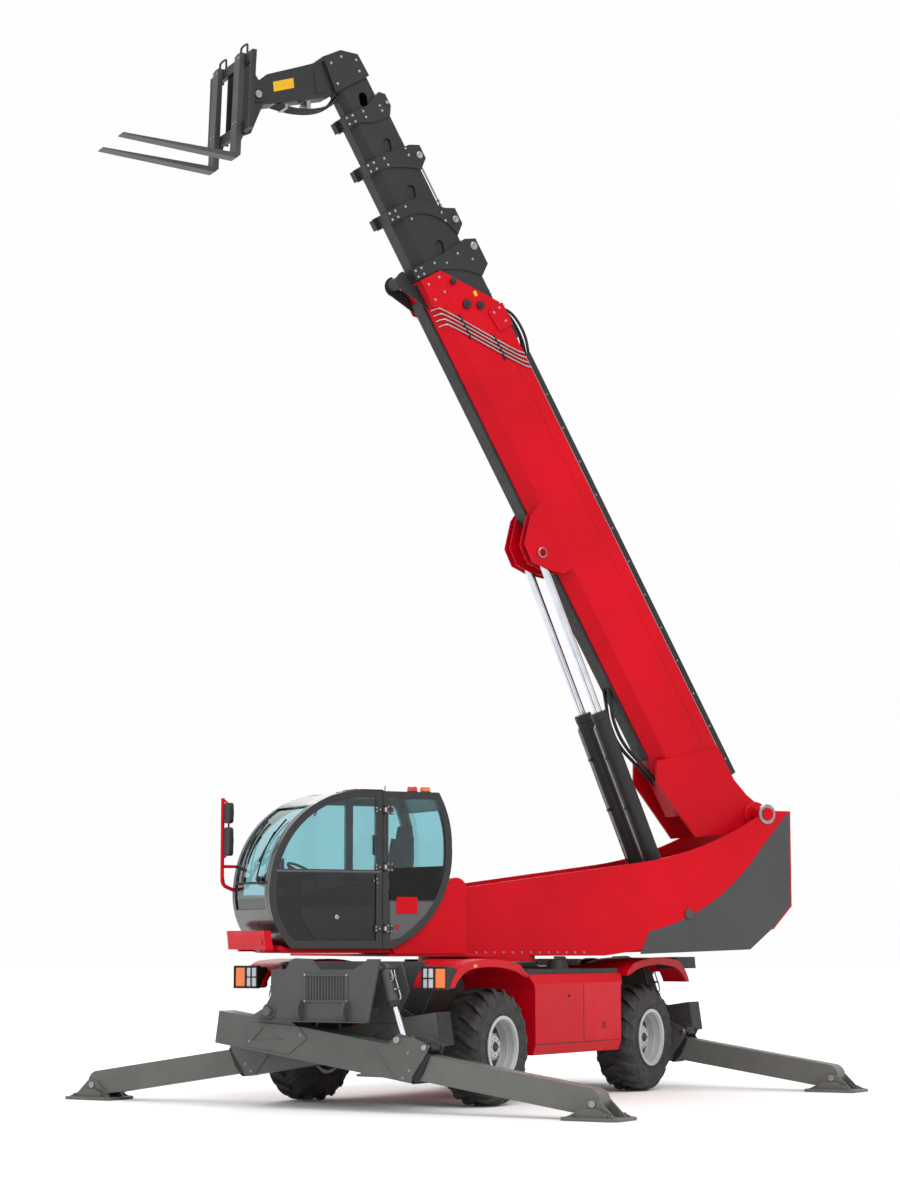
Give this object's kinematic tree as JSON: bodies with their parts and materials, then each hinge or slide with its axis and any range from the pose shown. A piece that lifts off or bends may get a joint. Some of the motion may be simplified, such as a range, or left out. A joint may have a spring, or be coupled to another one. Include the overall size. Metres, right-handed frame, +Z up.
{
  "type": "rotating telehandler",
  "caption": "Rotating telehandler with a raised six-section boom, forks, a glazed cab and four scissor stabilisers set down.",
  "frame": {"origin": "on the ground, at the middle of the footprint of the whole machine as posed", "axes": "+X the chassis's forward direction, +Y its left, +Z up; the upper structure is turned 32 degrees clockwise seen from above"},
  "size_m": [7.3295, 6.7, 11.285],
  "materials": {
    "red_paint": "gloss paint",
    "grey_paint": "satin paint",
    "mid_grey_paint": "satin paint",
    "silver_paint": "metallic paint",
    "black_paint": "matt paint",
    "black_plastic": "matt",
    "tyre_rubber": "matt",
    "tinted_glass": "clear tinted",
    "steel": "machined",
    "chrome_rod": "polished",
    "iron": "cast",
    "signal_plastic": "translucent lens"
  },
  "bodies": {
    "chassis": {"chassis_frame": "grey_paint", "end_plates": "grey_paint", "side_boxes": "red_paint", "fenders": "red_paint", "deck_covers": "black_plastic", "lamps": "black_plastic", "axles": "iron", "slew_ring": "steel"},
    "turret": {"turret_frame": "red_paint", "cab_carrier": "red_paint", "counterweight": "iron", "engine_block": "iron", "cab_shell": "black_paint", "cab_glass": "tinted_glass", "cab_interior": "black_plastic", "mirrors": "black_plastic", "beacons": "signal_plastic"},
    "hood": {"engine_hood": "red_paint"},
    "cab_door": {"door_frame": "black_paint", "door_glass": "tinted_glass"},
    "boom": {"boom_base": "red_paint", "boom_trays": "black_plastic"},
    "section_2": {"boom_section_2": "mid_grey_paint"},
    "section_3": {"boom_section_3": "mid_grey_paint"},
    "section_4": {"boom_section_4": "mid_grey_paint"},
    "section_5": {"boom_section_5": "mid_grey_paint"},
    "section_6": {"boom_head": "mid_grey_paint"},
    "carriage": {"fork_carriage": "grey_paint", "forks": "black_paint"},
    "lift_rod_pair": {"lift_rods": "chrome_rod"},
    "lift_barrel_pair": {"lift_barrels": "grey_paint"},
    "hub_front_left": {"knuckle_front_left": "iron"},
    "wheel_front_left": {"rim_front_left": "silver_paint", "tyre_front_left": "tyre_rubber"},
    "hub_front_right": {"knuckle_front_right": "iron"},
    "wheel_front_right": {"rim_front_right": "silver_paint", "tyre_front_right": "tyre_rubber"},
    "hub_rear_left": {"knuckle_rear_left": "iron"},
    "wheel_rear_left": {"rim_rear_left": "silver_paint", "tyre_rear_left": "tyre_rubber"},
    "hub_rear_right": {"knuckle_rear_right": "iron"},
    "wheel_rear_right": {"rim_rear_right": "silver_paint", "tyre_rear_right": "tyre_rubber"},
    "stabiliser_front_left": {"arm_front_left": "grey_paint"},
    "outrigger_leg_front_left": {"leg_front_left": "mid_grey_paint"},
    "ram_barrel_front_left": {"stabiliser_barrel_front_left": "grey_paint"},
    "ram_rod_front_left": {"stabiliser_rod_front_left": "chrome_rod"},
    "stabiliser_front_right": {"arm_front_right": "grey_paint"},
    "outrigger_leg_front_right": {"leg_front_right": "mid_grey_paint"},
    "ram_barrel_front_right": {"stabiliser_barrel_front_right": "grey_paint"},
    "ram_rod_front_right": {"stabiliser_rod_front_right": "chrome_rod"},
    "stabiliser_rear_left": {"arm_rear_left": "grey_paint"},
    "outrigger_leg_rear_left": {"leg_rear_left": "mid_grey_paint"},
    "ram_barrel_rear_left": {"stabiliser_barrel_rear_left": "grey_paint"},
    "ram_rod_rear_left": {"stabiliser_rod_rear_left": "chrome_rod"},
    "stabiliser_rear_right": {"arm_rear_right": "grey_paint"},
    "outrigger_leg_rear_right": {"leg_rear_right": "mid_grey_paint"},
    "ram_barrel_rear_right": {"stabiliser_barrel_rear_right": "grey_paint"},
    "ram_rod_rear_right": {"stabiliser_rod_rear_right": "chrome_rod"}
  },
  "joints": [
    {"name": "steer_front_left", "type": "hinge", "parent": "chassis", "child": "hub_front_left", "pos_m": [1.4675, 0.88, 0.585], "axis": [0, 0, 1], "range_deg": [-28, 28]},
    {"name": "roll_front_left", "type": "hinge", "parent": "hub_front_left", "child": "wheel_front_left", "pos_m": [1.4675, 1.045, 0.585], "axis": [0, 1, 0], "continuous": true},
    {"name": "steer_front_right", "type": "hinge", "parent": "chassis", "child": "hub_front_right", "pos_m": [1.4675, -0.88, 0.585], "axis": [0, 0, 1], "range_deg": [-28, 28]},
    {"name": "roll_front_right", "type": "hinge", "parent": "hub_front_right", "child": "wheel_front_right", "pos_m": [1.4675, -1.045, 0.585], "axis": [0, 1, 0], "continuous": true},
    {"name": "steer_rear_left", "type": "hinge", "parent": "chassis", "child": "hub_rear_left", "pos_m": [-1.8725, 0.88, 0.585], "axis": [0, 0, 1], "range_deg": [-28, 28]},
    {"name": "roll_rear_left", "type": "hinge", "parent": "hub_rear_left", "child": "wheel_rear_left", "pos_m": [-1.8725, 1.045, 0.585], "axis": [0, 1, 0], "continuous": true},
    {"name": "steer_rear_right", "type": "hinge", "parent": "chassis", "child": "hub_rear_right", "pos_m": [-1.8725, -0.88, 0.585], "axis": [0, 0, 1], "range_deg": [-28, 28]},
    {"name": "roll_rear_right", "type": "hinge", "parent": "hub_rear_right", "child": "wheel_rear_right", "pos_m": [-1.8725, -1.045, 0.585], "axis": [0, 1, 0], "continuous": true},
    {"name": "slew", "type": "hinge", "parent": "chassis", "child": "turret", "pos_m": [-0.2025, 0, 1.42], "axis": [0, 0, 1], "continuous": true},
    {"name": "hood_open", "type": "hinge", "parent": "turret", "child": "hood", "pos_m": [-0.89678, -0.16754, 2.185], "axis": [-0.848, 0.5299, 0], "range_deg": [0, 60]},
    {"name": "door_open", "type": "hinge", "parent": "turret", "child": "cab_door", "pos_m": [1.92914, 0.16556, 2.4], "axis": [0, 0, 1], "range_deg": [0, 90]},
    {"name": "boom_lift", "type": "hinge", "parent": "turret", "child": "boom", "pos_m": [-3.12827, 1.82822, 3.06], "axis": [-0.5299, -0.848, 0], "range_deg": [-63, 20]},
    {"name": "extend_2", "type": "slide", "parent": "boom", "child": "section_2", "axis": [0.424, -0.265, 0.866], "range_m": [0, 5.2]},
    {"name": "extend_3", "type": "slide", "parent": "section_2", "child": "section_3", "axis": [0.424, -0.265, 0.866], "range_m": [0, 5.2]},
    {"name": "extend_4", "type": "slide", "parent": "section_3", "child": "section_4", "axis": [0.424, -0.265, 0.866], "range_m": [0, 5.2]},
    {"name": "extend_5", "type": "slide", "parent": "section_4", "child": "section_5", "axis": [0.424, -0.265, 0.866], "range_m": [0, 5.2]},
    {"name": "extend_6", "type": "slide", "parent": "section_5", "child": "section_6", "axis": [0.424, -0.265, 0.866], "range_m": [0, 5.2]},
    {"name": "fork_tilt", "type": "hinge", "parent": "section_6", "child": "carriage", "pos_m": [2.10419, -1.44138, 10.64], "axis": [0.5299, 0.848, 0], "range_deg": [-66, 40]},
    {"name": "lift_rod_swing", "type": "hinge", "parent": "boom", "child": "lift_rod_pair", "pos_m": [-0.79553, 0.37056, 5.89438], "axis": [-0.5299, -0.848, 0], "range_deg": [-2.5, 1.5]},
    {"name": "lift_stroke", "type": "slide", "parent": "lift_rod_pair", "child": "lift_barrel_pair", "axis": [-0.3343, 0.2089, -0.919], "range_m": [-1.6, 0.52]},
    {"name": "arm_swing_front_left", "type": "hinge", "parent": "chassis", "child": "stabiliser_front_left", "pos_m": [2.8475, -0.5, 0.95], "axis": [-1, 0, 0], "range_deg": [-10, 2]},
    {"name": "leg_extend_front_left", "type": "slide", "parent": "stabiliser_front_left", "child": "outrigger_leg_front_left", "axis": [0, 0.989, -0.1478], "range_m": [-1.45, 0]},
    {"name": "ram_swing_front_left", "type": "hinge", "parent": "chassis", "child": "ram_barrel_front_left", "pos_m": [2.8475, 0.715, 1.375], "axis": [-1, 0, 0], "range_deg": [-13.4, 13.4]},
    {"name": "ram_stroke_front_left", "type": "slide", "parent": "ram_barrel_front_left", "child": "ram_rod_front_left", "axis": [0, 0.3361, -0.9418], "range_m": [-0.228, 0.0496]},
    {"name": "arm_swing_front_right", "type": "hinge", "parent": "chassis", "child": "stabiliser_front_right", "pos_m": [2.4175, 0.5, 0.95], "axis": [1, 0, 0], "range_deg": [-10, 2]},
    {"name": "leg_extend_front_right", "type": "slide", "parent": "stabiliser_front_right", "child": "outrigger_leg_front_right", "axis": [0, -0.989, -0.1478], "range_m": [-1.45, 0]},
    {"name": "ram_swing_front_right", "type": "hinge", "parent": "chassis", "child": "ram_barrel_front_right", "pos_m": [2.4175, -0.715, 1.375], "axis": [1, 0, 0], "range_deg": [-13.4, 13.4]},
    {"name": "ram_stroke_front_right", "type": "slide", "parent": "ram_barrel_front_right", "child": "ram_rod_front_right", "axis": [0, -0.3361, -0.9418], "range_m": [-0.228, 0.0496]},
    {"name": "arm_swing_rear_left", "type": "hinge", "parent": "chassis", "child": "stabiliser_rear_left", "pos_m": [-2.8225, -0.5, 0.95], "axis": [-1, 0, 0], "range_deg": [-10, 2]},
    {"name": "leg_extend_rear_left", "type": "slide", "parent": "stabiliser_rear_left", "child": "outrigger_leg_rear_left", "axis": [0, 0.989, -0.1478], "range_m": [-1.45, 0]},
    {"name": "ram_swing_rear_left", "type": "hinge", "parent": "chassis", "child": "ram_barrel_rear_left", "pos_m": [-2.8225, 0.715, 1.375], "axis": [-1, 0, 0], "range_deg": [-13.4, 13.4]},
    {"name": "ram_stroke_rear_left", "type": "slide", "parent": "ram_barrel_rear_left", "child": "ram_rod_rear_left", "axis": [0, 0.3361, -0.9418], "range_m": [-0.228, 0.0496]},
    {"name": "arm_swing_rear_right", "type": "hinge", "parent": "chassis", "child": "stabiliser_rear_right", "pos_m": [-3.2525, 0.5, 0.95], "axis": [1, 0, 0], "range_deg": [-10, 2]},
    {"name": "leg_extend_rear_right", "type": "slide", "parent": "stabiliser_rear_right", "child": "outrigger_leg_rear_right", "axis": [0, -0.989, -0.1478], "range_m": [-1.45, 0]},
    {"name": "ram_swing_rear_right", "type": "hinge", "parent": "chassis", "child": "ram_barrel_rear_right", "pos_m": [-3.2525, -0.715, 1.375], "axis": [1, 0, 0], "range_deg": [-13.4, 13.4]},
    {"name": "ram_stroke_rear_right", "type": "slide", "parent": "ram_barrel_rear_right", "child": "ram_rod_rear_right", "axis": [0, -0.3361, -0.9418], "range_m": [-0.228, 0.0496]}
  ],
  "couplings": [
    {"joint": "steer_front_right", "follows": "steer_front_left", "ratio": 1},
    {"joint": "steer_rear_left", "follows": "steer_front_left", "ratio": -1},
    {"joint": "steer_rear_right", "follows": "steer_front_left", "ratio": -1},
    {"joint": "extend_3", "follows": "extend_2", "ratio": 1},
    {"joint": "extend_4", "follows": "extend_2", "ratio": 1},
    {"joint": "extend_5", "follows": "extend_2", "ratio": 1},
    {"joint": "extend_6", "follows": "extend_2", "ratio": 1},
    {"joint": "lift_rod_swing", "follows": "boom_lift", "ratio": 0.03},
    {"joint": "lift_stroke", "follows": "boom_lift", "m_per_rad": 1.4439},
    {"joint": "ram_swing_front_left", "follows": "arm_swing_front_left", "ratio": 1.24},
    {"joint": "ram_stroke_front_left", "follows": "arm_swing_front_left", "m_per_rad": 1.2774},
    {"joint": "ram_swing_front_right", "follows": "arm_swing_front_right", "ratio": 1.24},
    {"joint": "ram_stroke_front_right", "follows": "arm_swing_front_right", "m_per_rad": 1.2774},
    {"joint": "ram_swing_rear_left", "follows": "arm_swing_rear_left", "ratio": 1.24},
    {"joint": "ram_stroke_rear_left", "follows": "arm_swing_rear_left", "m_per_rad": 1.2774},
    {"joint": "ram_swing_rear_right", "follows": "arm_swing_rear_right", "ratio": 1.24},
    {"joint": "ram_stroke_rear_right", "follows": "arm_swing_rear_right", "m_per_rad": 1.2774}
  ]
}
